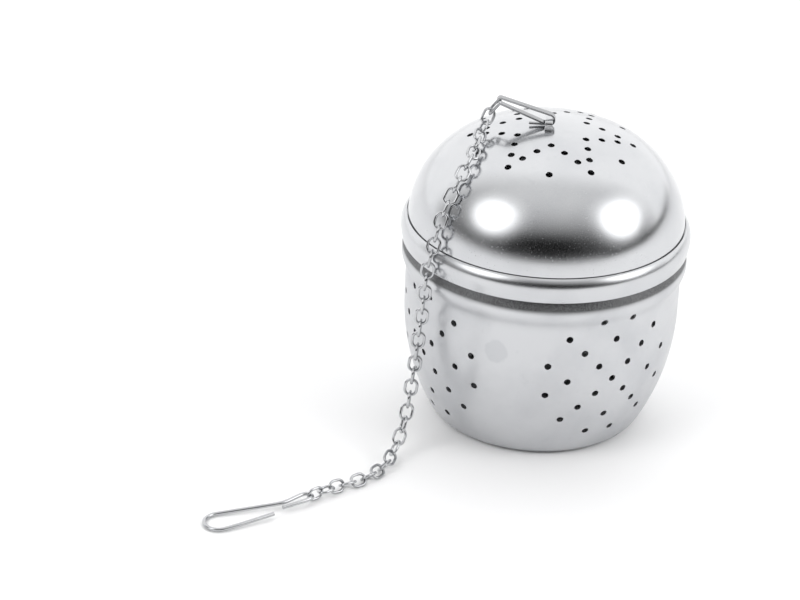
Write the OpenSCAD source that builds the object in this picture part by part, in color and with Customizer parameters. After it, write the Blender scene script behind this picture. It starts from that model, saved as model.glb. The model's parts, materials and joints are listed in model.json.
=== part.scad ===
// Screw-top tea infuser: a perforated steel egg on a chain with a cup hook.
// Origin at the middle of the base, +Z up, sizes in millimetres.

/* [Egg] */
// Thickness of the drawn steel sheet
sheet = 0.5; // [0.4:0.05:0.6]
// Width of the base's flat part and its rounding, measured as a radius
base_flat_r = 16.7; // [14:0.1:18]

/* [Cup] */
// Outside radius of the cup's straight wall
cup_r = 23.9; // [22:0.1:26]
// Height where the wall starts to curve in
cup_turn_h = 21; // [18:0.5:24]
// Radius of the rounding between wall and base
base_round_r = 2.5; // [1.5:0.5:4]
// Height of the shoulder bead's widest ring
shoulder_h = 29.1; // [26:0.1:31]
// How far the shoulder bead stands out from the wall
shoulder_out = 0.85; // [0.6:0.05:1.2]
// Radius of the shoulder bead's section
shoulder_bead_r = 1.35; // [1.2:0.05:1.6]

/* [Neck and thread] */
// Height of the neck's rim above the shoulder bead's middle
neck_rise = 6.7; // [6.2:0.1:6.8]
// How far the neck is set in from the cup's wall
neck_inset = 0.2; // [0.1:0.05:0.4]
// Clearance between the threads' ridges and the walls they pass
thread_gap = 0.15; // [0.1:0.01:0.2]
// Rise of the lid for one turn
thread_pitch = 2; // [1.6:0.1:2.4]
// Turns in the cup's thread ridge
cup_thread_turns = 0.7; // [0.5:0.05:0.75]
// Turns in the lid's thread ridge
lid_thread_turns = 0.5; // [0.4:0.05:0.55]

/* [Lid] */
// Height of the lid's lower edge above the shoulder bead's middle
lid_edge_rise = 3.9; // [3.5:0.1:4.5]
// Height of the collar, from the lid's lower edge to the seam
collar_h = 4.15; // [4:0.05:5]
// Clearance across the seam between dome and collar
seam_gap = 0.05; // [0.02:0.01:0.1]
// How far the dome's foot stands out over the neck
dome_over = 0.3; // [0.2:0.05:0.5]
// Radius of the dome's round shoulder
dome_round_r = 17; // [14:0.5:20]
// Radius of the flatter cap on top of the dome
dome_cap_r = 37.5; // [30:0.5:60]
// Radius of the collar's bead section
collar_bead_r = 2.6; // [2.4:0.1:3]
// How far the collar's bead stands out from the dome's foot
collar_out = 1.1; // [0.9:0.05:1.5]

/* [Perforation] */
// Diameter of every hole
hole_d = 1.3; // [0.8:0.1:1.6]
// Points of the star that is punched in the lid
star_points = 6; // [5:1:6]
// Distance of the star's inner corners from the middle
star_inner_r = 6.7; // [6:0.1:7.5]
// Distance of the star's tips from the middle
star_outer_r = 13.9; // [12.5:0.1:15]
// Number of hole patches round the cup
patches = 4; // [3:1:4]
// Height of the middle of each patch
patch_h = 17; // [16:0.5:18]

/* [Strap and bail] */
// Width of the strap across the top of the dome
strap_w = 1.3; // [1:0.1:1.3]
// Thickness of the strap
strap_t = 0.35; // [0.3:0.05:0.4]
// Width of the bail's strip
bail_w = 1.3; // [1:0.1:1.3]
// Thickness of the bail's strip
bail_t = 0.3; // [0.25:0.05:0.35]
// Distance between the centres of the bail's two round ends
bail_len = 8.9; // [7:0.1:12]
// Angle at which the bail lies, above level
bail_tilt = 19; // [15:1:30]

/* [Chain] */
// Length of one link over its ends
link_len = 3.3; // [3.1:0.1:3.6]
// Width of one link
link_w = 2.5; // [2.4:0.1:2.8]
// Diameter of the link's wire
link_wire = 0.5; // [0.4:0.05:0.55]
// Free play between two links
link_play = 0.06; // [0.04:0.01:0.1]

/* [Hook] */
// Diameter of the hook's wire
hook_wire = 0.7; // [0.6:0.05:0.8]
// Width between the wires of the hook's bend
hook_w = 5; // [4.5:0.1:6]
// Length of the hook's straight shank
hook_shank = 11.5; // [10:0.5:14]

/* [Hidden] */
LINKS = 40;
turn_fn = 144;
wire_fn = 24;

// ---- cup section ----
neck_r = cup_r - neck_inset;
cup_in_r = cup_r - sheet;
bead_c = [cup_r + shoulder_out - shoulder_bead_r, shoulder_h];
bead_low_a = -62;
bead_top_a = 75;
wall_top = shoulder_h - 1.7;
neck_foot = shoulder_h + shoulder_bead_r + 0.3;
neck_top = shoulder_h + neck_rise;
// the lower wall is one arc, level with the straight wall at its top and round the base at its foot
foot_c = [base_flat_r, base_round_r];
foot_drop = cup_turn_h - base_round_r;
foot_run = cup_r - base_flat_r;
curve_r = (foot_run * foot_run + foot_drop * foot_drop - base_round_r * base_round_r)
        / (2 * (foot_run - base_round_r));
curve_c = [cup_r - curve_r, cup_turn_h];
foot_a = atan2(foot_c[1] - curve_c[1], foot_c[0] - curve_c[0]);

// ---- lid section ----
lid_edge = shoulder_h + lid_edge_rise;
seam_h = lid_edge + collar_h;
dome_foot_r = neck_r + dome_over;
collar_c = [dome_foot_r + collar_out - collar_bead_r, lid_edge + 1.2];
collar_low_a = -asin(1.2 / collar_bead_r);
collar_top_a = 48;
// the dome is a flat cap arc that runs into a tighter shoulder arc
foot_line = seam_h + seam_gap;
foot_drop_a = 4.9;
round_c = [dome_foot_r - dome_round_r, foot_line - (dome_round_r - sheet) * sin(foot_drop_a)];
cap_c = [0, round_c[1] - sqrt(pow(dome_cap_r - dome_round_r, 2) - round_c[0] * round_c[0])];
height = cap_c[1] + dome_cap_r;
blend_a = atan2(round_c[1] - cap_c[1], round_c[0]);
cap_edge_r = dome_cap_r * cos(blend_a);
seam_r = dome_foot_r + 0.1;

// ---- thread: shallow ridges, the lid's half a pitch under the cup's ----
ridge_tip = 0.3;
ridge_root = 0.7;
mouth_r = collar_c[0] + (collar_bead_r - sheet) * cos(collar_low_a);
ridge_cup_r = mouth_r - thread_gap;
ridge_lid_r = neck_r + thread_gap;
ridge_reach = (lid_thread_turns * thread_pitch + ridge_root) / 2;
lid_root_r = collar_c[0] + sqrt(pow(collar_bead_r - sheet, 2) - ridge_reach * ridge_reach) - 0.12;
lid_ridge_z = collar_c[1] - lid_thread_turns * thread_pitch / 2;
cup_ridge_z = collar_c[1] + 0.1 - cup_thread_turns * thread_pitch;
cup_root_r = neck_r - sheet / 2;

// ---- cup hole patch: steps round the wall in degrees and up it in millimetres ----
patch_start = -57;
step_a = 6.9;
step_h = 2.72;

// ---- strap and bail ----
strap_x = -0.65;
bail_round = 0.78;
bail_tip_round = 0.35;
tongue_sink = 0.05;
tongue_end = 0.25;
pin_h = height + 0.1 + tongue_sink + bail_round + bail_t;
strap_foot = height - 0.12;
strap_half = bail_w / 2 + 0.65;
strap_corner = 0.4;
strap_flange = 0.7;
tongue_len = 3.4;
tongue_w = 0.6;
tilt_dir = [-cos(bail_tilt), 0, sin(bail_tilt)];

// ---- chain ----
bar_gap = link_wire + link_play;
link_step = link_len - link_wire - bar_gap;
bar_out = bar_gap / 2;
// the first link is a wider, squarer ring that clears the bail's strip
ring_round = 0.55;
ring_half_w = bail_w / 2 + ring_round;
ring_play = 0.04;
first_dir = unit([-0.6, 0, -0.8]);
tip_play = 0.04;
first_bar = [strap_x, 0, pin_h] + bail_len * tilt_dir + tip_play * first_dir;
chain_start = first_bar + bar_out * first_dir;
// the chain leaves the bail, rests on the dome, drops from the collar and lies on the table
ROUTE = [[-11.4, -1.3, 54.5], [-12, -3.7, 53.5], [-12.5, -6.4, 52.7], [-13, -9.1, 51.9],
         [-14.2, -11.7, 50.1], [-15.5, -14, 47.8], [-16.8, -15.5, 45], [-17.7, -16.6, 42],
         [-18.4, -17.2, 39], [-19, -18, 35.9], [-19.5, -17.9, 32], [-19.8, -17.7, 27],
         [-20.2, -17.9, 22], [-20.6, -18.2, 17], [-21.1, -18.7, 12], [-21.6, -19.7, 7.5],
         [-22.4, -21.4, 4], [-23.4, -24, 1.9], [-24.4, -27, 1.1], [-26, -30, 0.98],
         [-28.2, -32.4, 0.98], [-30.6, -34.4, 1.04], [-32.8, -36.2, 1.34], [-34.8, -38.1, 1.3],
         [-36.6, -39.7, 1.3], [-38.6, -41.5, 1.3]];

function unit(v) = v / norm(v);

// ================= profiles of revolution =================

// a point at angle a on a circle
function on(c, r, a) = [c[0] + r * cos(a), c[1] + r * sin(a)];

// the cut across a sheet of a given radius: its inner point, then its outer point
function cut(c, r, a) = [on(c, r - sheet, a), on(c, r, a)];
function angle_of(c, p) = atan2(p[1] - c[1], p[0] - c[0]);

// the slice of a ring between two cuts, counter-clockwise, used as the section of a bent sheet
module bend(c, r_out, r_in, first, last) {
    far = r_out * 2;
    a0 = angle_of(c, first[1]);
    a1 = angle_of(c, last[1]) + (angle_of(c, last[1]) < a0 ? 360 : 0);
    intersection() {
        difference() {
            translate(c) circle(r = r_out, $fn = 360);
            translate(c) circle(r = r_in, $fn = 360);
        }
        polygon(concat([c, first[0], first[1]],
                       [for (k = [0 : 4]) on(c, far, a0 + (a1 - a0) * k / 4)],
                       [last[1], last[0]]));
    }
}

// a piece of flat sheet, in section
module strip(x, y, w, h) {
    translate([x, y]) square([w, h]);
}

// a straight piece of sheet between two cuts
module web(p, q) {
    polygon([p[0], p[1], q[1], q[0]]);
}

module cup_section() {
    floor_cut = [[base_flat_r, sheet], [base_flat_r, 0]];
    foot_cut = cut(foot_c, base_round_r, foot_a);
    wall_cut = [[cup_in_r, cup_turn_h], [cup_r, cup_turn_h]];
    low_cut = cut(bead_c, shoulder_bead_r, bead_low_a);
    top_cut = cut(bead_c, shoulder_bead_r, bead_top_a);
    strip(0, 0, base_flat_r, sheet);
    bend(foot_c, base_round_r, base_round_r - sheet, floor_cut, foot_cut);
    bend(curve_c, curve_r, curve_r - sheet, foot_cut, wall_cut);
    strip(cup_in_r, cup_turn_h, sheet, wall_top - cup_turn_h);
    web([[cup_in_r, wall_top], [cup_r, wall_top]], low_cut);
    bend(bead_c, shoulder_bead_r, shoulder_bead_r - sheet, low_cut, top_cut);
    web(top_cut, [[neck_r - sheet, neck_foot], [neck_r, neck_foot]]);
    strip(neck_r - sheet, neck_foot, sheet, neck_top - neck_foot);
}

module dome_section() {
    blend_cut = cut(round_c, dome_round_r, blend_a);
    low_cut = cut(round_c, dome_round_r, foot_drop_a);
    bend(cap_c, dome_cap_r, dome_cap_r - sheet, blend_cut, [[0, height - sheet], [0, height]]);
    bend(round_c, dome_round_r, dome_round_r - sheet, low_cut, blend_cut);
}

module collar_section() {
    edge_cut = cut(collar_c, collar_bead_r, collar_low_a);
    top_cut = cut(collar_c, collar_bead_r, collar_top_a);
    bend(collar_c, collar_bead_r, collar_bead_r - sheet, edge_cut, top_cut);
    web(top_cut, [[seam_r - sheet, seam_h], [seam_r, seam_h]]);
}

// ================= perforation =================

// a hole square to a round wall: c is the centre of the wall's arc, in the plane at angle a
module hole(a, c, r, b) {
    rotate([0, 0, a])
        translate([c[0], 0, c[1]])
            rotate([0, 90 - b, 0])
                translate([0, 0, r - 2])
                    cylinder(d = hole_d, h = 3.5, $fn = wire_fn);
}

// a hole in the dome above the point p of the plan
module dome_hole(p) {
    r = norm(p);
    a = atan2(p[1], p[0]);
    on_cap = r < cap_edge_r;
    c = on_cap ? cap_c : round_c;
    wall_r = on_cap ? dome_cap_r : dome_round_r;
    hole(a, c, wall_r, acos((r - c[0]) / wall_r));
}

function star_corner(i) = let (r = i % 2 == 0 ? star_inner_r : star_outer_r, a = i * 180 / star_points - 90)
    [r * cos(a), r * sin(a)];

// the outline of a star, three steps along each of its sides, and one hole off each inner corner
module lid_holes() {
    for (i = [0 : 2 * star_points - 1])
        for (k = [0 : 2])
            dome_hole(star_corner(i) * (1 - k / 3) + star_corner(i + 1) * (k / 3));
    for (i = [0 : star_points - 1])
        dome_hole(star_corner(2 * i) * star_outer_r / star_inner_r);
}

// a hole in the cup's wall at angle a and height h
module cup_hole(a, h) {
    low = h < cup_turn_h;
    c = low ? curve_c : [0, h];
    r = low ? curve_r : cup_r;
    hole(a, c, r, low ? asin((h - curve_c[1]) / curve_r) : 0);
}

// offsets in one patch, in steps: an X with a ring of single holes and pairs round it
patch_x = [for (k = [1 : 3]) [k, k]];
patch_ring = [[0, 2.8], [1, 4.15], [2.9, 0], [4.15, 1.07]];

module cup_patch(a) {
    cup_hole(a, patch_h);
    for (o = concat(patch_x, patch_ring))
        for (s = o[0] == 0 ? [1] : [-1, 1])
            for (t = o[1] == 0 ? [1] : [-1, 1])
                cup_hole(a + s * o[0] * step_a, patch_h + t * o[1] * step_h);
}

// ================= shells =================

module cup_shell() {
    color("silver")
        difference() {
            rotate_extrude($fn = turn_fn) cup_section();
            for (i = [0 : patches - 1]) cup_patch(patch_start + i * 360 / patches);
        }
}

module lid_collar() {
    color("silver") rotate_extrude($fn = turn_fn) collar_section();
}

module lid_dome() {
    color("silver")
        difference() {
            rotate_extrude($fn = turn_fn) dome_section();
            lid_holes();
        }
}

// ================= threads =================

// one rolled ridge: r_root lies on the sheet, r_tip reaches towards the other thread
module ridge(r_root, r_tip, z0, a0, turns) {
    n = ceil(turns * 48);
    section = [[r_root, -ridge_root / 2], [r_tip, -ridge_tip / 2],
               [r_tip, ridge_tip / 2], [r_root, ridge_root / 2]];
    points = [for (i = [0 : n]) let (a = a0 + i * turns * 360 / n, z = z0 + i * turns * thread_pitch / n)
              for (p = section) [p[0] * cos(a), p[0] * sin(a), z + p[1]]];
    sides = [for (i = [0 : n - 1]) for (j = [0 : 3]) let (b = 4 * i, k = (j + 1) % 4)
             [b + j, b + 4 + j, b + 4 + k, b + k]];
    ends = [[0, 1, 2, 3], [4 * n + 3, 4 * n + 2, 4 * n + 1, 4 * n]];
    faces = concat(sides, ends);
    polyhedron(points, r_tip > r_root ? [for (f = faces) [for (j = [len(f) - 1 : -1 : 0]) f[j]]] : faces);
}

module cup_thread() {
    color("gainsboro") ridge(cup_root_r, ridge_cup_r, cup_ridge_z, 0, cup_thread_turns);
}

// the lid's ridge lies half a pitch under the cup's
module lid_thread() {
    lag = (lid_ridge_z + thread_pitch / 2 - cup_ridge_z) * 360 / thread_pitch;
    color("gainsboro") ridge(lid_root_r, ridge_lid_r, lid_ridge_z, lag, lid_thread_turns);
}

// ================= strap and bail =================

// the strap arches over the bail's round end, front to back, on two welded feet
module strap() {
    top = pin_h - strap_t / 2;
    corner = [strap_half - strap_corner, top - strap_corner];
    far = strap_corner + strap_t;
    color("silver")
        translate([strap_x - strap_w / 2, 0, 0])
            rotate([90, 0, 90])
                linear_extrude(strap_w) {
                    strip(-corner[0], top, 2 * corner[0], strap_t);
                    for (s = [0, 1])
                        mirror([s, 0]) {
                            bend(corner, far, strap_corner,
                                 [corner + [strap_corner, 0], corner + [far, 0]],
                                 [corner + [0, strap_corner], corner + [0, far]]);
                            strip(strap_half, strap_foot + strap_t, strap_t, corner[1] - strap_foot - strap_t);
                            strip(strap_half, strap_foot, strap_t + strap_flange, strap_t);
                        }
                }
}

// the bail in its own plane: the big end round the strap at 0, the small end at bail_len
module bail_section() {
    a = acos((bail_round - bail_tip_round) / bail_len);
    tip = [bail_len, 0];
    big = [on([0, 0], bail_round, a), on([0, 0], bail_round + bail_t, a)];
    small = [on(tip, bail_tip_round, a), on(tip, bail_tip_round + bail_t, a)];
    flip = [[1, 0], [0, -1]];
    bend([0, 0], bail_round + bail_t, bail_round, big, big * flip);
    bend(tip, bail_tip_round + bail_t, bail_tip_round, small * flip, small);
    web(big, small);
    web(big * flip, small * flip);
}

// the strip's free end, under the loop, props the bail up on the dome
module bail() {
    color("silver")
        translate([strap_x, 0, pin_h]) {
            rotate([0, 0, 180])
                rotate([90, -bail_tilt, 0])
                    translate([0, 0, -bail_w / 2])
                        linear_extrude(bail_w) bail_section();
            translate([-tongue_len, -tongue_w / 2, -bail_round - bail_t - tongue_sink])
                cube([tongue_len + tongue_end, tongue_w, bail_t]);
        }
}

// ================= chain =================

// a smooth curve through the route's points (Catmull-Rom), fine enough to walk along
second = chain_start + link_step * first_dir;
route = concat([chain_start, second], ROUTE);
fine = 16;
function curve(i, t) = let (a = route[i - 1], b = route[i], c = route[i + 1], d = route[i + 2])
    0.5 * (2 * b + (c - a) * t + (2 * a - 5 * b + 4 * c - d) * t * t + (3 * b - a - 3 * c + d) * t * t * t);
path = [for (i = [1 : len(route) - 3]) for (k = [0 : fine - 1]) curve(i, k / fine)];

// walk the path one link at a time: each joint lies one link_step, as the crow flies, from the last
function next_joint(p, i) = norm(path[i + 1] - p) < link_step ? next_joint(p, i + 1) : i;
function meet(p, a, b, n) = n == 0 ? b
    : let (m = (a + b) / 2) norm(m - p) < link_step ? meet(p, m, b, n - 1) : meet(p, a, m, n - 1);
function walk(p, i, n) = n == 0 ? [p]
    : let (j = next_joint(p, i)) concat([p], walk(meet(p, path[j], path[j + 1], 20), j, n - 1));
joints = concat([chain_start], walk(second, 0, LINKS - 1));

// the direction that the surface under a link faces: up on the table, outwards on the egg
function outward(p) = p[2] < 8 ? unit([-0.2 * (p[2] - 1.5), -0.3 * (p[2] - 1.5), 6])
    : p[2] < foot_line ? unit([p[0], p[1], 0])
    : unit([p[0], p[1], p[2] - round_c[1]]);

// each link is turned 90 degrees from the last; the chain leaves the bail level, lies on its
// links' edges at 45 degrees, and comes to the hook with its last link upright
last_turn = LINKS % 2 == 0 ? -45 : 45;
function roll(i) = (i % 2 == 0 ? 90 : 0) + 45 * min(1, (i - 1) / 6) + last_turn * max(0, (i - LINKS + 4) / 4);

// a link in its own plane: two sides, two ends, and the bends between them
module link_shape(half_l, half_w, round_r) {
    for (s = [-1, 1])
        translate([round_r - half_l, s * half_w, 0])
            rotate([0, 90, 0]) cylinder(d = link_wire, h = 2 * (half_l - round_r), $fn = wire_fn);
    if (round_r < half_w)
        for (s = [-1, 1])
            translate([s * half_l, round_r - half_w, 0])
                rotate([-90, 0, 0]) cylinder(d = link_wire, h = 2 * (half_w - round_r), $fn = wire_fn);
    for (x = [-1, 1])
        for (y = [-1, 1])
            translate([x * (half_l - round_r), y * (half_w - round_r), 0])
                rotate([0, 0, x > 0 ? (y > 0 ? 0 : -90) : (y > 0 ? 90 : 180)])
                    rotate_extrude(angle = 90, $fn = 2 * wire_fn)
                        translate([round_r, 0]) circle(d = link_wire, $fn = wire_fn);
}

module link(i) {
    a = joints[i - 1];
    b = joints[i];
    t = unit(b - a);
    side = unit(cross(t, outward((a + b) / 2)));
    w = side * cos(roll(i)) + cross(t, side) * sin(roll(i));
    u = cross(t, w);
    m = (a + b) / 2;
    half_l = (link_len - link_wire) / 2;
    half_w = (link_w - link_wire) / 2;
    color("silver")
        multmatrix([[t[0], w[0], u[0], m[0]], [t[1], w[1], u[1], m[1]], [t[2], w[2], u[2], m[2]], [0, 0, 0, 1]])
            if (i == 1)
                link_shape(half_l + ring_play, ring_half_w, ring_round);
            else
                link_shape(half_l, half_w, half_w);
}

// ================= hook =================

// the wire's line in the hook's own plane: eye, shank, bend, return leg
eye_line = [[0.4, 1.3], [-1.3, 0.9], [-3, 0.5], [-4.4, 0.1], [-5.05, -0.3], [-5.2, -0.85], [-5, -1.4],
            [-4.4, -1.8], [-3.6, -1.7], [-2.4, -1.15], [-1.1, -0.5], [0, -0.1]];
bend_line = [for (a = [-90 : 15 : 90]) [hook_shank + hook_w / 2 * cos(a), hook_w / 2 + hook_w / 2 * sin(a)]];
leg_line = [[hook_shank - 3, hook_w - 0.6], [hook_shank - 6, hook_w - 1.35], [hook_shank - 9.2, hook_w - 2.2]];
hook_line = concat(eye_line, [[1.5, 0], [hook_shank - 3, 0]], bend_line, leg_line);
// the last link's bar stands in the eye here; the far end of the bend rests on the table
eye_bar = [-4.53, -0.87];
last_dir = unit(joints[LINKS] - joints[LINKS - 1]);
last_bar = joints[LINKS] + bar_out * last_dir;
hook_heading = 200;
hook_dip = asin((last_bar[2] - hook_wire / 2) / (hook_shank + hook_w / 2 - eye_bar[0]));

function ring_at(pts, i, r, n) = let (
        a = pts[max(i - 1, 0)], b = pts[min(i + 1, len(pts) - 1)],
        t = unit([b[0] - a[0], b[1] - a[1]]), nrm = [-t[1], t[0]])
    [for (k = [0 : n - 1]) let (c = cos(k * 360 / n), s = sin(k * 360 / n))
        [pts[i][0] + nrm[0] * r * c, pts[i][1] + nrm[1] * r * c, r * s]];

module wire(pts, r, n) {
    m = len(pts);
    points = [for (i = [0 : m - 1]) for (p = ring_at(pts, i, r, n)) p];
    sides = [for (i = [0 : m - 2]) for (j = [0 : n - 1]) let (b = n * i, k = (j + 1) % n)
             [b + j, b + n + j, b + n + k, b + k]];
    first = [for (j = [0 : n - 1]) j];
    last = [for (j = [n - 1 : -1 : 0]) n * (m - 1) + j];
    polyhedron(points, concat(sides, [first, last]));
}

module hook() {
    color("silver")
        translate(last_bar)
            rotate([0, 0, hook_heading])
                rotate([0, hook_dip, 0])
                    translate([-eye_bar[0], -eye_bar[1], 0])
                        wire(hook_line, hook_wire / 2, 12);
}

cup_shell();
cup_thread();
lid_collar();
lid_dome();
lid_thread();
strap();
bail();
for (i = [1 : LINKS]) link(i);
hook();
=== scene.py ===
"""Screw-top tea infuser on a chain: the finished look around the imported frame."""

import json
import logging
import math
from dataclasses import dataclass, field
from enum import Enum
from typing import Optional, Sequence

import bpy
from mathutils import Matrix, Vector


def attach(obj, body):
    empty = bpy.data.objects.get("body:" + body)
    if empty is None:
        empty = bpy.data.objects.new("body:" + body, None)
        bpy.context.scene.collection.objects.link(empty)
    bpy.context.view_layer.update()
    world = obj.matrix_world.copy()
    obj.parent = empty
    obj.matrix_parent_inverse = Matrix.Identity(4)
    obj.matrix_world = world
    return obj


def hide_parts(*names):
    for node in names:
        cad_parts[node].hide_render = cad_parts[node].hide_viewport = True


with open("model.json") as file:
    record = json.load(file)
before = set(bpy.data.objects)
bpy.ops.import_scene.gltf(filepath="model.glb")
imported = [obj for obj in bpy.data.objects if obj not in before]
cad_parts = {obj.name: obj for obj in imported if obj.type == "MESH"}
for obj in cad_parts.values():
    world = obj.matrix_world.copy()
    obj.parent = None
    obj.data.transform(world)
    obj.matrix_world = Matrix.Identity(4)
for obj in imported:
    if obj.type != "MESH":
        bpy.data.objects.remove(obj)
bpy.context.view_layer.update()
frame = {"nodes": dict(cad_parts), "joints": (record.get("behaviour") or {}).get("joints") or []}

MM = 0.001
TOUCHING = 1e-7  # metres: points nearer than this are one
ON_AXIS = 1e-6  # millimetres: a smaller radius lies on the egg's axis
TURN_STEPS = 168  # flats round the egg
STRIP_EASE = 0.06  # millimetres: how far a strip's edges are eased
WIRE_EASE = 0.2  # how far a wire's ends are eased, as a share of its diameter
BAND_REACH = 100.0  # millimetres that the ramp of a band spans
MARK_REACH = 10.0  # millimetres that the ramp of a mark spans
Point = tuple[float, float]
Triple = tuple[float, float, float]
log = logging.getLogger("tea_infuser")


# ---------------------------------------------------------------- node graphs


@dataclass(frozen=True)
class Speckle:
    """Noise bent through a grey ramp: how strongly a surface is marked from place to place."""

    scale: float
    detail: float
    stops: tuple[Point, ...]
    rough: float = 0.5


SMUDGES = Speckle(scale=95.0, detail=4.0, rough=0.55, stops=((0.42, 0.0), (0.68, 1.0)))
SPECKS = Speckle(scale=900.0, detail=2.0, stops=((0.62, 0.0), (0.75, 1.0)))
DUST = Speckle(scale=4200.0, detail=2.0, stops=((0.66, 0.0), (0.73, 1.0)))
SHADE_SPECKLE = Speckle(scale=5200.0, detail=1.0, stops=((0.35, 0.75), (0.65, 1.0)))


class Value:
    """A number that varies over a surface: one socket, with arithmetic that adds Math nodes."""

    def __init__(self, graph: "Graph", socket: bpy.types.NodeSocket) -> None:
        """Wraps one output socket of a graph."""
        self.graph = graph
        self.socket = socket

    def _join(self, operation: str, first: object, second: object) -> "Value":
        """Adds one Math node.

        Args:
            operation: Blender's name of the operation.
            first: a value or a number.
            second: a value or a number.

        Returns:
            The node's result.
        """
        node = self.graph.add("ShaderNodeMath", {"operation": operation}, {0: first, 1: second})
        return Value(self.graph, node.outputs[0])

    def __add__(self, other: object) -> "Value":
        """The sum."""
        return self._join("ADD", self, other)

    def __radd__(self, other: object) -> "Value":
        """The sum, with the number first."""
        return self._join("ADD", other, self)

    def __sub__(self, other: object) -> "Value":
        """The difference."""
        return self._join("SUBTRACT", self, other)

    def __rsub__(self, other: object) -> "Value":
        """The difference, with the number first."""
        return self._join("SUBTRACT", other, self)

    def __mul__(self, other: object) -> "Value":
        """The product."""
        return self._join("MULTIPLY", self, other)

    def __rmul__(self, other: object) -> "Value":
        """The product, with the number first."""
        return self._join("MULTIPLY", other, self)

    def power(self, exponent: float) -> "Value":
        """This value raised to a power."""
        return self._join("POWER", self, exponent)


class Graph:
    """The node tree of one material or of the room."""

    def __init__(self, owner: object) -> None:
        """Empties the owner's node tree.

        Args:
            owner: a material or a world.
        """
        owner.use_nodes = True
        self.owner = owner
        self.tree = owner.node_tree
        self.tree.nodes.clear()

    def link(self, given: object, socket: bpy.types.NodeSocket) -> None:
        """Joins a Value or an output socket to an input socket."""
        self.tree.links.new(given.socket if isinstance(given, Value) else given, socket)

    def add(self, kind: str, settings: dict, sockets: dict) -> bpy.types.Node:
        """Adds one node.

        Args:
            kind: the node's type.
            settings: its own settings, set first; "stops" fills a colour ramp.
            sockets: a number, colour, Value or output socket for each named input.

        Returns:
            The new node.
        """
        node = self.tree.nodes.new(kind)
        for key, setting in settings.items():
            if key == "stops":
                ramp = node.color_ramp.elements
                while len(ramp) < len(setting):
                    ramp.new(0.5)
                for element, (place, shade) in zip(ramp, setting):
                    element.position = place
                    element.color = (*([shade] * 3), 1.0)
            else:
                setattr(node, key, setting)
        for key, given in sockets.items():
            if isinstance(given, (Value, bpy.types.NodeSocket)):
                self.link(given, node.inputs[key])
            else:
                node.inputs[key].default_value = given
        return node

    def surface(self) -> object:
        """Adds a surface shader and its output.

        Returns:
            The shader's inputs.
        """
        shader = self.add("ShaderNodeBsdfPrincipled", {}, {})
        self.add("ShaderNodeOutputMaterial", {}, {"Surface": shader.outputs["BSDF"]})
        return shader.inputs

    def place(self) -> bpy.types.NodeSocket:
        """The surface point in the object's own metres."""
        return self.add("ShaderNodeTexCoord", {}, {}).outputs["Object"]

    def noise(self, where: object, scale: float, detail: float, rough: float = 0.5) -> Value:
        """Even noise from 0 to 1.

        Args:
            where: the coordinates it reads.
            scale: patches per metre.
            detail: how many finer layers it has.
            rough: how strong the finer layers are.

        Returns:
            The noise.
        """
        node = self.add("ShaderNodeTexNoise", {}, {
            "Vector": where, "Scale": scale, "Detail": detail, "Roughness": rough})
        return Value(self, node.outputs["Fac"])

    def ramp(self, given: Value, stops: Sequence[Point]) -> Value:
        """Bends a value through a grey ramp.

        Args:
            given: the value that is read.
            stops: pairs of place and shade.

        Returns:
            The shade.
        """
        node = self.add("ShaderNodeValToRGB", {"stops": stops}, {"Fac": given})
        return Value(self, node.outputs["Color"])

    def speckle(self, where: object, kind: Speckle) -> Value:
        """One kind of speckle at the given coordinates."""
        return self.ramp(self.noise(where, kind.scale, kind.detail, kind.rough), kind.stops)

    def round_axis(self, along: float, up: float) -> bpy.types.NodeSocket:
        """Coordinates for marks that run round the egg's axis.

        Args:
            along: how fast a mark changes on its way round.
            up: how fast it changes across.

        Returns:
            A vector of the distance from the axis, the height and a little of the direction.
        """
        where, slant = self.place(), 0.7
        split = self.add("ShaderNodeSeparateXYZ", {}, {"Vector": where})
        flat = self.add("ShaderNodeVectorMath", {"operation": "MULTIPLY"},
                        {0: where, 1: (1.0, 1.0, 0.0)})
        far = self.add("ShaderNodeVectorMath", {"operation": "LENGTH"},
                       {0: flat.outputs["Vector"]})
        out = Value(self, far.outputs["Value"]) * up
        high = Value(self, split.outputs["Z"]) * up
        side = (Value(self, split.outputs["X"]) + Value(self, split.outputs["Y"]) * slant) * along
        return self.add("ShaderNodeCombineXYZ", {}, {"X": out, "Y": high, "Z": side}).outputs[0]

    def grey(self, shade: Value) -> bpy.types.NodeSocket:
        """A grey of the given shade."""
        node = self.add("ShaderNodeCombineColor", {}, {"Red": shade, "Green": shade, "Blue": shade})
        return node.outputs["Color"]

    def mix(self, amount: Value, first: object, second: object) -> bpy.types.NodeSocket:
        """Blends two colours.

        Args:
            amount: 0 for the first, 1 for the second.
            first: a colour or a colour's socket.
            second: a colour or a colour's socket.

        Returns:
            The blended colour's socket.
        """
        pair = [(*c, 1.0) if isinstance(c, tuple) else c for c in (first, second)]
        node = self.add("ShaderNodeMix", {"data_type": "RGBA"}, {0: amount, 6: pair[0], 7: pair[1]})
        return node.outputs[2]


class Grain(Enum):
    """Which way the polishing marks run."""

    ROUND = "round the egg's axis"
    RANDOM = "every way"


@dataclass(frozen=True)
class ShadeBand:
    """Painted shade between two heights, in millimetres: the cup's neck, recessed under the lid, darkened in
    its colour with speckle, and rougher where the steel is unpolished.
    """

    low: float
    high: float
    fade: float = 0.4
    # share of the steel's colour left in the painted shade
    shade: float = 0.2
    rough: float = 0.16

    def inside(self, g: Graph, where: object) -> Value:
        """How far a point is in the band.

        Args:
            g: the material's graph.
            where: the coordinates it reads.

        Returns:
            1 inside and 0 outside.
        """
        height = g.add("ShaderNodeSeparateXYZ", {}, {"Vector": where}).outputs["Z"]
        stops = ((self.low - self.fade, 0.0), (self.low, 1.0), (self.high, 1.0), (self.high + self.fade, 0.0))
        return g.ramp(Value(g, height) * (1.0 / BAND_REACH / MM), [(at / BAND_REACH, s) for at, s in stops])


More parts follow.
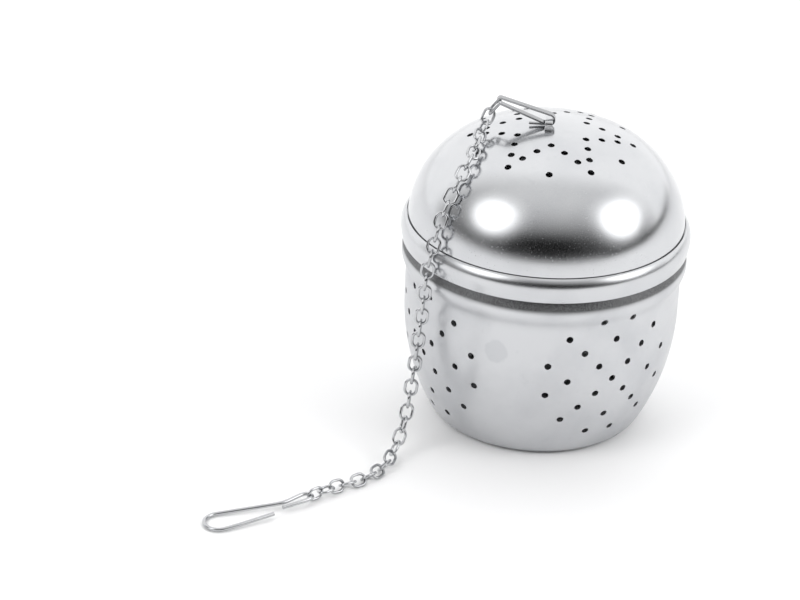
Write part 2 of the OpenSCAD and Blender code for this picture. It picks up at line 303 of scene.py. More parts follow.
@dataclass(frozen=True)
class Mark:
    """A ragged round smudge, in millimetres."""

    middle: Triple
    inner: float = 2.5
    outer: float = 2.9
    ragged: float = 1.2
    ragged_scale: float = 520.0
    wear: float = 0.7
    rough: float = 0.06

    def inside(self, g: Graph, where: object) -> Value:
        """How far a point is in the mark.

        Args:
            g: the material's graph.
            where: the coordinates it reads.

        Returns:
            1 inside and 0 outside.
        """
        gap = g.add("ShaderNodeVectorMath", {"operation": "DISTANCE"},
                    {0: where, 1: tuple(c * MM for c in self.middle)})
        ragged = self.ragged * g.noise(where, self.ragged_scale, 2.0)
        away = Value(g, gap.outputs["Value"]) * (1.0 / MM) + ragged
        return g.ramp(away * (1.0 / MARK_REACH),
                      [(self.inner / MARK_REACH, 1.0), (self.outer / MARK_REACH, 0.0)])


@dataclass(frozen=True)
class Steel:
    """Stainless steel with polishing marks and handling smudges, and where given, a stretch of painted shade.

    Each "rough" is how much roughness its marks add, and each "wear" how far they turn light into dull.
    """

    name: str
    light: Triple = (0.605, 0.613, 0.628)
    dull: Triple = (0.53, 0.54, 0.56)
    rough: float = 0.16
    smudge_rough: float = 0.12
    smudge_wear: float = 0.6
    speck_wear: float = 0.25
    grain: Grain = Grain.ROUND
    grain_rough: float = 0.05
    grain_bump: float = 0.05
    dust_rough: float = 0.0
    # painted shade between two heights, if any
    shade_band: Optional[ShadeBand] = None
    mark: Optional[Mark] = None

    def polishing(self, g: Graph) -> Value:
        """The polishing marks.

        Args:
            g: the material's graph.

        Returns:
            Their height, from 0 to 1.
        """
        if self.grain is Grain.ROUND:
            return g.noise(g.round_axis(along=60.0, up=9000.0), scale=1.0, detail=3.0, rough=0.6)
        return g.noise(g.place(), scale=2600.0, detail=3.0, rough=0.6)

    def build(self) -> bpy.types.Material:
        """Makes the material.

        Returns:
            The finished material.
        """
        g = Graph(bpy.data.materials.new(self.name))
        surface, where = g.surface(), g.place()
        fine, patch = self.polishing(g), g.speckle(where, SMUDGES)
        worn = patch * self.smudge_wear + g.speckle(where, SPECKS) * self.speck_wear
        rough = self.rough + patch * self.smudge_rough + fine * self.grain_rough
        if self.dust_rough:
            rough = rough + self.dust_rough * g.speckle(where, DUST)
        if self.mark:
            touch = self.mark.inside(g, where)
            worn, rough = worn + touch * self.mark.wear, rough + touch * self.mark.rough
        colour = g.mix(worn, self.light, self.dull)
        # painted shade: the recessed neck under the lid is darkened in its colour, with speckle; the added
        # roughness is the unpolished steel
        if self.shade_band:
            inside = self.shade_band.inside(g, where)
            dark = tuple(c * self.shade_band.shade for c in self.light)
            colour = g.mix(inside * g.speckle(where, SHADE_SPECKLE), colour, dark)
            rough = rough + inside * self.shade_band.rough
        g.link(colour, surface["Base Color"])
        g.link(rough, surface["Roughness"])
        surface["Metallic"].default_value = 1.0
        bump = g.add("ShaderNodeBump", {}, {"Strength": self.grain_bump, "Distance": 0.02 * MM,
                                            "Height": fine})
        g.link(bump.outputs["Normal"], surface["Normal"])
        return g.owner


@dataclass(frozen=True)
class PaleTop:
    """The plain table top that everything stands on."""

    name: str = "table_top"
    light: Triple = (0.93, 0.93, 0.93)
    dull: Triple = (0.9, 0.9, 0.905)
    rough: float = 0.7
    shine: float = 0.1

    def build(self) -> bpy.types.Material:
        """Makes the material.

        Returns:
            The finished material.
        """
        g = Graph(bpy.data.materials.new(self.name))
        surface = g.surface()
        drift = g.noise(g.place(), scale=3.0, detail=2.0)
        g.link(g.mix(drift, self.light, self.dull), surface["Base Color"])
        surface["Roughness"].default_value = self.rough
        surface["Specular IOR Level"].default_value = self.shine
        return g.owner


# ---------------------------------------------------------------- modelling tools


def arc(centre: Point, radius: float, start: float, end: float, step: float) -> list[Point]:
    """Points on an arc in the plane of radius and height.

    Args:
        centre: its centre.
        radius: its radius.
        start: first angle in degrees.
        end: last angle in degrees.
        step: about how far apart the points are.

    Returns:
        The points, both ends included.
    """
    count = max(2, math.ceil(abs(math.radians(end - start)) * radius / step))
    angles = [math.radians(start + (end - start) * i / count) for i in range(count + 1)]
    return [(centre[0] + radius * math.cos(a), centre[1] + radius * math.sin(a)) for a in angles]


def spread(points: Sequence[Point], step: float) -> list[Point]:
    """Lays points evenly along a broken line.

    Args:
        points: the line's corners.
        step: about how far apart the new points are.

    Returns:
        The new points.
    """
    least = 1e-9  # keeps a repeated corner from dividing by nothing
    lengths = [0.0]
    for a, b in zip(points, points[1:]):
        lengths.append(lengths[-1] + math.dist(a, b))
    count = max(2, round(lengths[-1] / step))
    out, k = [], 0
    for i in range(count + 1):
        at = lengths[-1] * i / count
        while k < len(points) - 2 and lengths[k + 1] < at:
            k += 1
        part = (at - lengths[k]) / max(lengths[k + 1] - lengths[k], least)
        out.append(tuple(p + (q - p) * part for p, q in zip(points[k], points[k + 1])))
    return out


def soften(points: Sequence[Point], passes: int) -> list[Point]:
    """Rounds a line's corners and leaves its ends.

    Args:
        points: evenly spread points.
        passes: how often each point moves towards its neighbours.

    Returns:
        The softened line.
    """
    line = [tuple(p) for p in points]
    for _ in range(passes):
        inner = [tuple((a + 2 * b + c) / 4 for a, b, c in zip(p, q, r))
                 for p, q, r in zip(line, line[1:], line[2:])]
        line = [line[0], *inner, line[-1]]
    return line


def offset(points: Sequence[Point], by: float) -> list[Point]:
    """The line that runs beside another, on its left side.

    Args:
        points: the first line.
        by: the distance between them.

    Returns:
        The second line.
    """
    out = []
    for i, (x, z) in enumerate(points):
        a, b = points[max(i - 1, 0)], points[min(i + 1, len(points) - 1)]
        dx, dz = b[0] - a[0], b[1] - a[1]
        size = math.hypot(dx, dz)
        out.append((max(x - dz / size * by, 0.0) if x > ON_AXIS else 0.0, z + dx / size * by))
    return out


def deselect() -> None:
    """Leaves every object unselected, in object mode."""
    if bpy.context.object and bpy.context.object.mode != "OBJECT":
        bpy.ops.object.mode_set(mode="OBJECT")
    bpy.ops.object.select_all(action="DESELECT")


def activate(piece: bpy.types.Object) -> None:
    """Selects one object alone and makes it active.

    Args:
        piece: the object.
    """
    deselect()
    piece.select_set(True)
    bpy.context.view_layer.objects.active = piece


def draw_line(name: str, points: Sequence[Sequence[float]], closed: bool) -> bpy.types.Object:
    """Draws a line of edges, point by point, in millimetres.

    Args:
        name: the new object's name.
        points: its corners, (x, y, z) or (x, z).
        closed: whether the last point joins the first.

    Returns:
        The object, in edit mode with all of it selected.
    """
    corners = [Vector((p[0], 0.0, p[1]) if len(p) == 2 else p) * MM for p in points]
    deselect()
    bpy.ops.mesh.primitive_plane_add(size=MM, location=(0, 0, 0))
    piece = bpy.context.object
    piece.name = piece.data.name = name
    bpy.ops.object.mode_set(mode="EDIT")
    bpy.ops.mesh.merge(type="CENTER")
    bpy.ops.transform.translate(value=corners[0])
    for a, b in zip(corners, corners[1:] + corners[:1] * closed):
        bpy.ops.mesh.extrude_region_move(TRANSFORM_OT_translate={"value": b - a})
    bpy.ops.mesh.select_all(action="SELECT")
    bpy.ops.mesh.remove_doubles(threshold=TOUCHING)
    return piece


def finish_mesh(piece: bpy.types.Object, angle: float = 32.0) -> None:
    """Merges doubles, turns faces outwards and smooths the shading.

    Args:
        piece: the object.
        angle: edges sharper than this stay sharp, in degrees.
    """
    activate(piece)
    bpy.ops.object.mode_set(mode="EDIT")
    bpy.ops.mesh.select_all(action="SELECT")
    bpy.ops.mesh.remove_doubles(threshold=TOUCHING)
    bpy.ops.mesh.normals_make_consistent(inside=False)
    bpy.ops.object.mode_set(mode="OBJECT")
    bpy.ops.object.shade_smooth_by_angle(angle=math.radians(angle))


def turn_solid(name: str, outline: Sequence[Point]) -> bpy.types.Object:
    """Turns an outline round the egg's axis.

    Args:
        name: the piece's name.
        outline: line of (radius, height) in millimetres, closed or with both ends on the axis.

    Returns:
        The piece.
    """
    piece = draw_line(name, outline, outline[0][0] > ON_AXIS)
    bpy.ops.mesh.spin(steps=TURN_STEPS, angle=2 * math.pi, center=(0, 0, 0), axis=(0, 0, 1))
    finish_mesh(piece)
    return piece


def round_edge(a: Point, b: Point) -> list[Point]:
    """Rounds a sheet's cut edge.

    Args:
        a: the corner where the line reaches the edge.
        b: the corner where it leaves.

    Returns:
        Three points between them, bulging outwards.
    """
    bulge = 0.8
    middle = ((a[0] + b[0]) / 2, (a[1] + b[1]) / 2)
    reach = (a[0] - middle[0], a[1] - middle[1])
    out = (-reach[1] * bulge, reach[0] * bulge)
    return [(middle[0] + reach[0] * math.cos(t) + out[0] * math.sin(t),
             middle[1] + reach[1] * math.cos(t) + out[1] * math.sin(t))
            for t in (math.pi / 4, math.pi / 2, math.pi * 3 / 4)]


def shell_outline(outer: Sequence[Point], sheet: float) -> list[Point]:
    """Gives a sheet's outer line its inner side and its round edges.

    Args:
        outer: the outer side, with the sheet on its left; one end may lie on the axis.
        sheet: the sheet's thickness.

    Returns:
        The outline, which starts and ends on the axis if the outer side reaches it.
    """
    inner = list(reversed(offset(outer, sheet)))
    far, near = round_edge(outer[-1], inner[0]), round_edge(inner[-1], outer[0])
    if outer[0][0] < ON_AXIS:
        return [*outer, *far, *inner]
    if outer[-1][0] < ON_AXIS:
        return [*inner, *near, *outer]
    return [*outer, *far, *inner, *near]


def apply_modifier(piece: bpy.types.Object, kind: str, **settings: object) -> None:
    """Adds one modifier and applies it.

    Args:
        piece: the piece.
        kind: the modifier's type.
        settings: its settings.
    """
    activate(piece)
    extra = piece.modifiers.new(kind.lower(), kind)
    for key, setting in settings.items():
        setattr(extra, key, setting)
    bpy.ops.object.modifier_apply(modifier=extra.name)


def dress(piece: bpy.types.Object, steel: bpy.types.Material) -> None:
    """Gives a piece one material.

    Args:
        piece: the piece.
        steel: its material.
    """
    piece.data.materials.clear()
    piece.data.materials.append(steel)


# ---------------------------------------------------------------- the egg


@dataclass(frozen=True)
class Slip:
    """How far one patch of holes is out of true, in degrees and millimetres."""

    turn: float = 0.0
    up: float = 0.0
    lean: float = 0.0  # degrees of turn for each millimetre up
    tip: float = 0.0  # millimetres up for each degree of turn


@dataclass
class Perforation:
    """The punched patterns of lid and cup, in millimetres and degrees."""

    radius: float = 0.59
    flare: float = 0.03
    depth: float = 1.6
    clear: float = 0.7
    sides: int = 24
    points: int = 6
    star_inner: float = 6.7
    star_outer: float = 13.9
    patches: int = 4
    patch_start: float = -57.0
    patch_height: float = 17.0
    step_turn: float = 6.9
    step_up: float = 2.72
    diagonal: tuple[int, ...] = (1, 2, 3)
    offshoots: tuple[Point, ...] = ((0, 2.8), (1, 4.15), (2.9, 0), (4.15, 1.07))
    slips: tuple[Slip, ...] = (Slip(0.25, -0.1, 0.05, -0.02), Slip(), Slip(), Slip(1.37, -1.14, -0.25, 0.042))

    def star(self) -> list[Point]:
        """The star's holes in plan.

        Returns:
            Their places.
        """
        corner = []
        for i in range(2 * self.points + 1):
            far = self.star_outer if i % 2 else self.star_inner
            a = math.radians(i * 180 / self.points - 90)
            corner.append(Vector((far * math.cos(a), far * math.sin(a))))
        holes = []
        for a, b in zip(corner, corner[1:]):
            holes += [a.lerp(b, k / 3) for k in range(3)]
        holes += [corner[2 * i] * self.star_outer / self.star_inner for i in range(self.points)]
        return [(h.x, h.y) for h in holes]

    def patch(self, number: int) -> list[Point]:
        """One patch's holes as direction and height, a little out of true like the real ones.

        Args:
            number: which patch.

        Returns:
            Offsets from the patch's middle, in degrees and millimetres.
        """
        slip = self.slips[number]
        out = [(slip.turn, slip.up)]
        for turn, up in [*((k, k) for k in self.diagonal), *self.offshoots]:
            for s in ((1,) if turn == 0 else (-1, 1)):
                for t in ((1,) if up == 0 else (-1, 1)):
                    a, b = s * turn * self.step_turn, t * up * self.step_up
                    out.append((a + slip.turn + slip.lean * b, b + slip.up + slip.tip * a))
        return out

    def cutter(self, name: str) -> bpy.types.Object:
        """Makes the tool for one hole, upright, with its origin on the outer face.

        Args:
            name: the tool's name.

        Returns:
            The tool, which eases the hole's outer edge.
        """
        outline = [(self.radius, -self.depth), (self.radius, -self.flare),
                   (self.radius + self.flare, 0.0), (self.radius + self.flare, self.clear)]
        deselect()
        bpy.ops.mesh.primitive_circle_add(vertices=self.sides, radius=self.radius * MM,
                                          fill_type="NGON", location=(0, 0, -self.depth * MM))
        tool = bpy.context.object
        tool.name = name
        bpy.ops.object.mode_set(mode="EDIT")
        for (r0, z0), (r1, z1) in zip(outline, outline[1:]):
            bpy.ops.mesh.extrude_region_move(TRANSFORM_OT_translate={"value": (0, 0, (z1 - z0) * MM)})
            bpy.ops.transform.resize(value=(r1 / r0, r1 / r0, 1))
        bpy.ops.mesh.select_all(action="SELECT")
        bpy.ops.mesh.normals_make_consistent(inside=False)
        bpy.ops.object.mode_set(mode="OBJECT")
        bpy.ops.object.transform_apply(location=True, rotation=True, scale=True)
        return tool

    def punch(self, piece: bpy.types.Object, places: Sequence[Matrix]) -> None:
        """Punches round holes in a shell.

        Args:
            piece: the shell.
            places: for each hole, its place on the outer face with its axis along Z, in metres.
        """
        cutter = self.cutter(piece.name + "_cutter")
        copies = []
        for place in places:
            copy = cutter.copy()
            copy.data = cutter.data.copy()
            bpy.context.collection.objects.link(copy)
            copy.data.transform(place)
            copies.append(copy)
        deselect()
        for copy in copies:
            copy.select_set(True)
        bpy.context.view_layer.objects.active = copies[0]
        bpy.ops.object.join()
        tool = bpy.context.object
        apply_modifier(piece, "BOOLEAN", operation="DIFFERENCE", solver="MANIFOLD", object=tool)
        bpy.data.objects.remove(tool)
        bpy.data.objects.remove(cutter)


def hole_place(direction: float, radius: float, height: float, lean: float) -> Matrix:
    """The place of a hole in a round wall.

    Args:
        direction: round the axis, in degrees.
        radius: of the outer face there, in millimetres.
        height: in millimetres.
        lean: how far the face looks up from level, in degrees.

    Returns:
        A matrix with its Z axis straight out of the face.
    """
    turn = Matrix.Rotation(math.radians(direction), 4, "Z")
    tip = Matrix.Rotation(math.radians(90 - lean), 4, "Y")
    return turn @ Matrix.Translation(Vector((radius, 0, height)) * MM) @ tip


@dataclass
class Cup:
    """The perforated lower half, turned from one sheet, in millimetres and degrees."""

    sheet: float = 0.5
    base_flat: float = 16.7
    base_round: float = 2.5
    wall: float = 23.9
    turn_height: float = 21.0  # the wall is straight above this and curves in below it
    curve: float = 41.2596
    foot_angle: float = -28.509  # where the wall's curve meets the base's round
    shoulder_foot: float = 27.2
    shoulder: tuple[Point, ...] = ((24.05, 28.1), (24.5, 28.8), (24.8, 29.8), (24.8, 30.6),
                                   (24.15, 32.5), (23.9, 32.8))
    neck: float = 23.7
    neck_foot: float = 33.1
    rim: float = 35.8
    lip: float = 0.2
    holes: Perforation = field(default_factory=Perforation)

    def outer(self) -> list[Point]:
        """The outer side.

        Returns:
            Points from the middle of the base to the rim.
        """
        line = [(0.0, 0.0), (self.base_flat, 0.0)]
        line += arc((self.base_flat, self.base_round), self.base_round, -90, self.foot_angle, step=0.3)
        line += arc((self.wall - self.curve, self.turn_height), self.curve, self.foot_angle, 0, step=0.4)
        line += [(self.wall, self.shoulder_foot)]
        line += [*self.shoulder, (self.neck, self.neck_foot), (self.neck, self.rim - self.lip)]
        return soften(spread(line, step=0.28), passes=6)

    def hole(self, direction: float, height: float) -> Matrix:
        """The place of one hole.

        Args:
            direction: round the axis, in degrees.
            height: in millimetres.

        Returns:
            A matrix with its Z axis straight out of the wall.
        """
        if height >= self.turn_height:
            return hole_place(direction, self.wall, height, 0.0)
        lean = math.degrees(math.asin((height - self.turn_height) / self.curve))
        radius = self.wall - self.curve * (1 - math.cos(math.radians(lean)))
        return hole_place(direction, radius, height, lean)

    def build(self, steel: bpy.types.Material) -> bpy.types.Object:
        """Models and dresses the cup.

        Args:
            steel: its material.

        Returns:
            The piece.
        """
        piece = turn_solid("cup_body", shell_outline(self.outer(), self.sheet))
        h = self.holes
        places = [self.hole(h.patch_start + i * 360 / h.patches + turn, h.patch_height + up)
                  for i in range(h.patches) for turn, up in h.patch(i)]
        h.punch(piece, places)
        finish_mesh(piece)
        dress(piece, steel)
        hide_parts("cup_shell")
        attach(piece, "cup")
        return piece


@dataclass
class Lid:
    """The perforated dome and the beaded collar crimped under it, in millimetres and degrees."""

    sheet: float = 0.5
    collar_sheet: float = 0.4
    round_centre: Point = (7.0, 35.7906)
    round_radius: float = 17.0
    cap_radius: float = 37.5
    blend: float = 70.034  # where the round side meets the flatter cap
    low: float = 4.4  # where the round side starts, just inside the collar
    collar_top: float = 36.99
    edge: Point = (24.8, 32.76)
    edge_ease: Point = (0.12, 0.1)
    bead: Point = (22.17, 34.96)
    bead_round: float = 2.9
    bead_turn: float = 38.0  # where the bead's curve tightens from bead_round to bead_top
    bead_top: float = 1.35
    bead_end: float = 58.0
    bead_run: Point = (-0.02, -0.5)  # the last point below the bead, from its widest
    seam_in: float = 24.06
    holes: Perforation = field(default_factory=Perforation)

    def cap_centre(self) -> Point:
        """The centre of the flatter arc over the middle.

        Returns:
            Its place on the axis.
        """
        reach = self.cap_radius - self.round_radius
        a = math.radians(self.blend)
        return (0.0, self.round_centre[1] - reach * math.sin(a))

    def dome_outer(self) -> list[Point]:
        """The dome's outer side.

        Returns:
            Points from its foot to its middle.
        """
        line = arc(self.round_centre, self.round_radius, self.low, self.blend, step=0.35)
        line += arc(self.cap_centre(), self.cap_radius, self.blend, 90, step=0.4)[1:]
        line[-1] = (0.0, line[-1][1])
        return line

    def collar_outer(self) -> list[Point]:
        """The collar's outer side.

        Returns:
            Points from its lower edge, over the bead, to the seam.
        """
        widest = (self.bead[0] + self.bead_round, self.bead[1])
        line = [(self.edge[0] - self.edge_ease[0], self.edge[1]),
                (self.edge[0], self.edge[1] + self.edge_ease[1]),
                (widest[0] + self.bead_run[0], widest[1] + self.bead_run[1])]
        line = soften(spread(line, step=0.1), passes=3)
        line += arc(self.bead, self.bead_round, 0, self.bead_turn, step=0.1)
        a, inward = math.radians(self.bead_turn), self.bead_round - self.bead_top
        top = (self.bead[0] + inward * math.cos(a), self.bead[1] + inward * math.sin(a))
        line += arc(top, self.bead_top, self.bead_turn, self.bead_end, step=0.07)[1:]
        return [*line, (self.seam_in, self.collar_top)]

    def hole(self, x: float, y: float) -> Matrix:
        """The place of one hole.

        Args:
            x: where it is in plan, in millimetres.
            y: where it is in plan, in millimetres.

        Returns:
            A matrix with its Z axis straight out of the dome.
        """
        far, turn = math.hypot(x, y), math.degrees(math.atan2(y, x))
        edge = self.cap_radius * math.cos(math.radians(self.blend))
        centre, radius = ((self.cap_centre(), self.cap_radius) if far < edge
                          else (self.round_centre, self.round_radius))
        lean = math.acos((far - centre[0]) / radius)
        return hole_place(turn, far, centre[1] + radius * math.sin(lean), math.degrees(lean))

    def build_dome(self, steel: bpy.types.Material) -> bpy.types.Object:
        """Models and dresses the dome.

        Args:
            steel: its material.

        Returns:
            The piece.
        """
        piece = turn_solid("lid_cover", shell_outline(self.dome_outer(), self.sheet))
        self.holes.punch(piece, [self.hole(x, y) for x, y in self.holes.star()])
        finish_mesh(piece)
        dress(piece, steel)
        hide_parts("lid_dome")
        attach(piece, "lid")
        return piece

    def build_collar(self, steel: bpy.types.Material) -> bpy.types.Object:
        """Models and dresses the collar.

        Args:
            steel: its material.

        Returns:
            The piece.
        """
        piece = turn_solid("lid_ring", shell_outline(self.collar_outer(), self.collar_sheet))
        dress(piece, steel)
        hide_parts("lid_collar")
        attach(piece, "collar")
        return piece


# ---------------------------------------------------------------- strap, bail, chain and hook


def bend_strip(name: str, line: Sequence[Vector], closed: bool, across: Vector,
               thick: float) -> bpy.types.Object:
    """Bends a flat strip along a line, with eased edges.

    Args:
        name: the piece's name.
        line: its outer side in section, in millimetres.
        closed: whether the strip runs all the way round.
        across: from one edge of the strip to the other, in millimetres.
        thick: its thickness in millimetres, laid on the line's inner side.

    Returns:
        The piece.
    """
    piece = draw_line(name, [point - across / 2 for point in line], closed)
    bpy.ops.mesh.extrude_region_move(TRANSFORM_OT_translate={"value": across * MM})
    bpy.ops.mesh.select_all(action="SELECT")
    bpy.ops.mesh.remove_doubles(threshold=TOUCHING)
    bpy.ops.object.mode_set(mode="OBJECT")
    middle = sum((v.co for v in piece.data.vertices), Vector()) / len(piece.data.vertices)
    outside = sum((f.center - middle).dot(f.normal) for f in piece.data.polygons)
    apply_modifier(piece, "SOLIDIFY", thickness=thick * MM, offset=-1.0 if outside > 0 else 1.0,
                   use_even_offset=True)
    finish_mesh(piece)
    apply_modifier(piece, "BEVEL", width=STRIP_EASE * MM, segments=3, limit_method="ANGLE",
                   angle_limit=math.radians(50))
    finish_mesh(piece, angle=40.0)
    return piece


def draw_wire(name: str, line: Sequence[Vector], thick: float, sides: int) -> bpy.types.Object:
    """Runs a round wire along a line, with eased ends.

    Args:
        name: the piece's name.
        line: the wire's middle, in millimetres.
        thick: its diameter in millimetres.
        sides: flats round the wire, divisible by four.

    Returns:
        The piece.
    """
    piece = draw_line(name, line, closed=False)
    bpy.ops.object.mode_set(mode="OBJECT")
    activate(piece)
    bpy.ops.object.convert(target="CURVE")
    piece = bpy.context.object
    piece.data.dimensions = "3D"
    piece.data.bevel_depth = thick / 2 * MM
    piece.data.bevel_resolution = sides // 2 - 2
    piece.data.use_fill_caps = True
    bpy.ops.object.convert(target="MESH")
    piece = bpy.context.object
    finish_mesh(piece)
    apply_modifier(piece, "BEVEL", width=thick * WIRE_EASE * MM, segments=3, limit_method="ANGLE",
                   angle_limit=math.radians(60))
    finish_mesh(piece, angle=50.0)
    return piece


@dataclass
class Fittings:
    """The strap welded on the dome, and the strip bail that swings under it, in millimetres and degrees."""

    pin: Triple = (-0.65, 0.0, 55.2528)
    strip: float = 1.3
    strap_thick: float = 0.35
    strap_half: float = 1.3
    strap_corner: float = 0.4
    flange: float = 0.7
    foot_round: float = 0.15
    foot_ease: float = 0.04
    foot: float = 53.9028
    bail_thick: float = 0.3
    big: float = 1.08  # the bail's end round the strap
    small: float = 0.65  # its end at the chain
    reach: float = 8.9
    tilt: float = 19.0
    tongue: Triple = (3.65, 0.6, 0.3)
    tongue_end: float = 0.25
    tongue_drop: float = 0.05
    tongue_ease: float = 0.08

    def build_strap(self, steel: bpy.types.Material) -> bpy.types.Object:
        """Models and dresses the strap.

        Args:
            steel: its material.

        Returns:
            The piece.
        """
        out, top = self.strap_half + self.strap_thick, self.pin[2] + self.strap_thick / 2
        low, bend = self.foot + self.strap_thick, self.strap_corner + self.strap_thick
        side = [(out + self.flange, low), (out + self.foot_round, low),
                (out + self.foot_ease, low + self.foot_ease), (out, low + self.foot_round)]
        side += arc((out - bend, top - bend), bend, 0, 90, step=0.1)
        line = side + [(-y, z) for y, z in reversed(side)]
        piece = bend_strip("strap_loop", [Vector((self.pin[0], y, z)) for y, z in line], closed=False,
                           across=Vector((self.strip, 0, 0)), thick=self.strap_thick)
        dress(piece, steel)
        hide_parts("strap")
        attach(piece, "lid")
        return piece

    def build_bail(self, steel: bpy.types.Material) -> bpy.types.Object:
        """Models and dresses the bail with its tongue.

        Args:
            steel: its material.

        Returns:
            The piece.
        """
        lean = math.degrees(math.acos((self.big - self.small) / self.reach))
        flat = arc((0, 0), self.big, lean, 360 - lean, step=0.12)
        flat += arc((self.reach, 0), self.small, -lean, lean, step=0.1)
        a = math.radians(self.tilt)
        along, up = Vector((-math.cos(a), 0, math.sin(a))), Vector((math.sin(a), 0, math.cos(a)))
        pin = Vector(self.pin)
        piece = bend_strip("bail_loop", [pin + along * u + up * v for u, v in flat], closed=True,
                           across=Vector((0, self.strip, 0)), thick=self.bail_thick)
        long, thick = self.tongue[0], self.tongue[2]
        middle = pin + Vector((self.tongue_end - long / 2, 0, thick / 2 - self.big - self.tongue_drop))
        deselect()
        bpy.ops.mesh.primitive_cube_add(size=1.0, location=middle * MM, scale=Vector(self.tongue) * MM)
        tongue = bpy.context.object
        bpy.ops.object.transform_apply(location=True, rotation=True, scale=True)
        apply_modifier(tongue, "BEVEL", width=self.tongue_ease * MM, segments=3)
        activate(piece)
        tongue.select_set(True)
        bpy.ops.object.join()
        finish_mesh(piece, angle=40.0)
        dress(piece, steel)
        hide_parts("bail")
        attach(piece, "bail")
        return piece


@dataclass
class Hook:
    """The bent wire hook that holds a cup's rim, drawn flat in millimetres and then laid down."""

    wire: float = 0.7
    eye: tuple[Point, ...] = ((0.4, 1.3), (-1.3, 0.9), (-3, 0.5), (-4.4, 0.1), (-5.05, -0.3),
                              (-5.2, -0.85), (-5, -1.4), (-4.4, -1.8), (-3.6, -1.7), (-2.4, -1.15),
                              (-1.1, -0.5), (0, -0.1), (1.5, 0), (8.5, 0))
    bend_centre: Point = (11.5, 2.5)
    bend: float = 2.5
    leg: tuple[Point, ...] = ((8.5, 4.4), (5.5, 3.65), (2.3, 2.8))
    eye_bar: Point = (-4.53, -0.87)
    heading: float = 200.0

    def build(self, steel: bpy.types.Material, bar: Vector) -> bpy.types.Object:
        """Models and dresses the hook.

        Args:
            steel: its material.
            bar: the bar of the last link, which stands in the eye, in millimetres.

        Returns:
            The piece.
        """
        line = [*self.eye, *arc(self.bend_centre, self.bend, -90, 90, step=0.4), *self.leg]
        line = soften(spread(line, step=0.25), passes=4)
        dip = math.asin((bar.z - self.wire / 2) / (self.bend_centre[0] + self.bend - self.eye_bar[0]))
        turn = Matrix.Rotation(math.radians(self.heading), 3, "Z") @ Matrix.Rotation(dip, 3, "Y")
        points = [bar + turn @ Vector((x - self.eye_bar[0], y - self.eye_bar[1], 0)) for x, y in line]
        piece = draw_wire("rim_hook", points, self.wire, sides=20)
        dress(piece, steel)
        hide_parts("hook")
        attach(piece, "hook")
        return piece


# ---------------------------------------------------------------- the studio


@dataclass(frozen=True)
class Lamp:
    """A round soft lamp that faces the egg, in degrees, metres and watts, and the room's glow there."""

    name: str
    turn: float
    up: float
    size: float = 0.3
    power: float = 0.5
    glow: float = 0.0
    distance: float = 0.6
    aim_height: float = 0.04

    def aim(self) -> Vector:
        """The direction of the lamp, with its turn counted from the front, positive to the right.

        Returns:
            A unit vector from the egg to the lamp.
        """
        a, b = math.radians(self.turn), math.radians(self.up)
        return Vector((math.sin(a) * math.cos(b), -math.cos(a) * math.cos(b), math.sin(b)))

    def build(self) -> None:
        """Hangs the lamp, unseen in reflections, where the room's glow stands for it."""
        data = bpy.data.lights.new(self.name, "AREA")
        data.shape, data.size, data.energy = "DISK", self.size, self.power
        lamp = bpy.data.objects.new(self.name, data)
        bpy.context.collection.objects.link(lamp)
        place = Matrix.Translation(Vector((0, 0, self.aim_height)) + self.aim() * self.distance)
        lamp.matrix_world = place @ self.aim().to_track_quat("Z", "Y").to_matrix().to_4x4()
        lamp.visible_glossy = False


@dataclass(frozen=True)
class Room:
    """Soft light from all round, by direction: x to the right, y away from the front and z up.

    Each ramp turns a direction into brightness or into a share of it.
    """

    pool_height: float = 0.2
    pool_squash: float = 0.42
    pool: tuple[Point, ...] = ((0.19, 0.0), (0.27, 0.05), (0.35, 0.2), (0.43, 0.38), (0.54, 0.6),
                               (0.7, 0.87), (0.88, 1.03))
    low: tuple[Point, ...] = ((0.0, 1.0), (0.16, 0.8), (0.3, 0.0))
    low_dimming: float = 0.55
    horizon: tuple[Point, ...] = ((0.0, 1.0), (0.05, 0.85), (0.095, 0.0))
    horizon_light: float = 0.45
    behind: tuple[Point, ...] = ((0.0, 0.0), (0.35, 1.0))
    behind_light: float = 1.3
    halo: tuple[Point, ...] = ((0.87, 0.0), (0.93, 0.12), (0.965, 0.6), (0.983, 1.0))
    strip: tuple[Point, ...] = ((0.0, 0.0), (0.02, 1.0), (0.08, 1.0), (0.12, 0.0))
    strip_side: tuple[Point, ...] = ((0.6, 0.0), (0.85, 1.0))
    strip_dimming: float = 0.92

    def build(self, lamps: Sequence[Lamp]) -> None:
        """Lights the room: bright behind, a dark pool in front, a glow at each lamp.

        Args:
            lamps: the lamps.
        """
        g = Graph(bpy.data.worlds.new("room"))
        where = g.add("ShaderNodeTexCoord", {}, {}).outputs["Generated"]
        split = g.add("ShaderNodeSeparateXYZ", {}, {"Vector": where})
        x, y, z = (Value(g, split.outputs[axis]) for axis in "XYZ")
        across, rise = x * self.pool_squash, z - self.pool_height
        front = g.ramp((across * across + rise * rise).power(0.5), self.pool)
        front = front * (1.0 - g.ramp(z, self.low) * self.low_dimming)
        front = front + g.ramp(z, self.horizon) * self.horizon_light
        light = front + (self.behind_light - front) * g.ramp(y, self.behind)
        for lamp in lamps:
            if lamp.glow:
                aim = lamp.aim()
                light = light + lamp.glow * g.ramp(x * aim.x + y * aim.y + z * aim.z, self.halo)
        strip = g.ramp(z, self.strip) * g.ramp(x, self.strip_side)
        light = light * (1.0 - self.strip_dimming * strip)
        back = g.add("ShaderNodeBackground", {}, {"Strength": 1.0, "Color": g.grey(light)})
        g.add("ShaderNodeOutputWorld", {}, {"Surface": back.outputs["Background"]})
        bpy.context.scene.world = g.owner


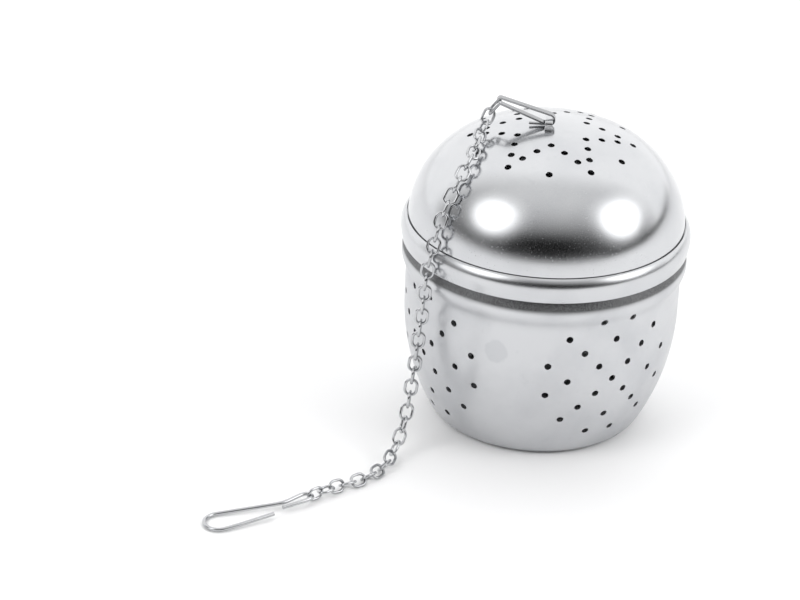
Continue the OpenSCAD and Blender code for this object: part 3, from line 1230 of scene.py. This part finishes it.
@dataclass
class Studio:
    """A pale table top, the room, soft lamps and the camera."""

    eye: Triple = (0.0, -0.46665, 0.26316)
    right: Triple = (0.99658, 0.07296, 0.03883)
    down: Triple = (0.06818, -0.46021, -0.88519)
    lens: float = 135.0
    sensor: float = 36.0
    clip: Point = (0.01, 20.0)
    table_size: float = 6.0
    room: Room = field(default_factory=Room)
    lamps: tuple[Lamp, ...] = (Lamp("lamp_left", -53.0, 36.5, glow=2.2),
                               Lamp("lamp_right", 76.5, 30.5, glow=2.6),
                               Lamp("lamp_behind", 178.0, 52.0, size=0.5, power=0.4))

    def camera(self) -> None:
        """Makes the camera, square to its two given directions."""
        right = Vector(self.right).normalized()
        down = Vector(self.down)
        down = (down - right * down.dot(right)).normalized()
        ahead = right.cross(down)
        data = bpy.data.cameras.new("camera")
        data.lens, data.sensor_width = self.lens, self.sensor
        data.clip_start, data.clip_end = self.clip
        camera = bpy.data.objects.new("camera", data)
        bpy.context.collection.objects.link(camera)
        turn = Matrix((right, -down, -ahead)).transposed()
        camera.matrix_world = Matrix.Translation(self.eye) @ turn.to_4x4()
        bpy.context.scene.camera = camera

    def table(self) -> None:
        """Makes the table top."""
        deselect()
        bpy.ops.mesh.primitive_plane_add(size=self.table_size, location=(0, 0, 0))
        top = bpy.context.object
        top.name = "table_top"
        dress(top, PaleTop().build())

    def build(self) -> None:
        """Makes everything that isn't the infuser."""
        bpy.context.scene.view_settings.view_transform = "Standard"
        self.camera()
        self.table()
        self.room.build(self.lamps)
        for lamp in self.lamps:
            lamp.build()


def dress_frame(nodes: Sequence[str], steel: bpy.types.Material) -> None:
    """Gives CAD nodes a finish.

    Args:
        nodes: their names.
        steel: the material.
    """
    for name in nodes:
        for slot in frame["nodes"][name].material_slots:
            slot.material = steel


def main() -> None:
    """Builds the infuser and its studio, and reports each piece."""
    logging.basicConfig(level=logging.INFO, format="%(name)s: %(message)s")
    Studio().build()
    # the cup's neck under the lid gets painted shade from 31.2 to 35.6 mm
    satin = Steel("cup_satin", rough=0.26, grain_bump=0.06, shade_band=ShadeBand(31.2, 35.6),
                  mark=Mark((-6.9, -22.9, 22.2))).build()
    polish = Steel("lid_polish", rough=0.145, smudge_rough=0.05, dust_rough=0.17).build()
    beaded = Steel("collar_polish", rough=0.2, smudge_rough=0.06).build()
    # painted shade: the bail's steel is a darker copy of the strap's steel, which is dressed with lid_polish
    strip = Steel("strip_steel_painted_shade", light=(0.36, 0.365, 0.375), dull=(0.3, 0.305, 0.315), rough=0.2,
                  grain=Grain.RANDOM).build()
    wire = Steel("wire_steel", light=(0.53, 0.537, 0.55), dull=(0.4, 0.406, 0.42), rough=0.08,
                 grain=Grain.RANDOM).build()
    lid, fittings = Lid(), Fittings()
    bar = Vector(next(j["pos_m"] for j in frame["joints"] if j["name"] == "hook_swing")) / MM
    for piece in (Cup().build(satin), lid.build_dome(polish), lid.build_collar(beaded),
                  fittings.build_strap(polish), fittings.build_bail(strip), Hook().build(wire, bar)):
        log.info("%s: %d faces", piece.name, len(piece.data.polygons))
    dress_frame(["cup_thread", "lid_thread"], satin)
    chain = [name for name in frame["nodes"] if name.startswith("link_")]
    dress_frame(chain, wire)
    log.info("chain: %d links", len(chain))


if __name__ == "__main__":
    main()
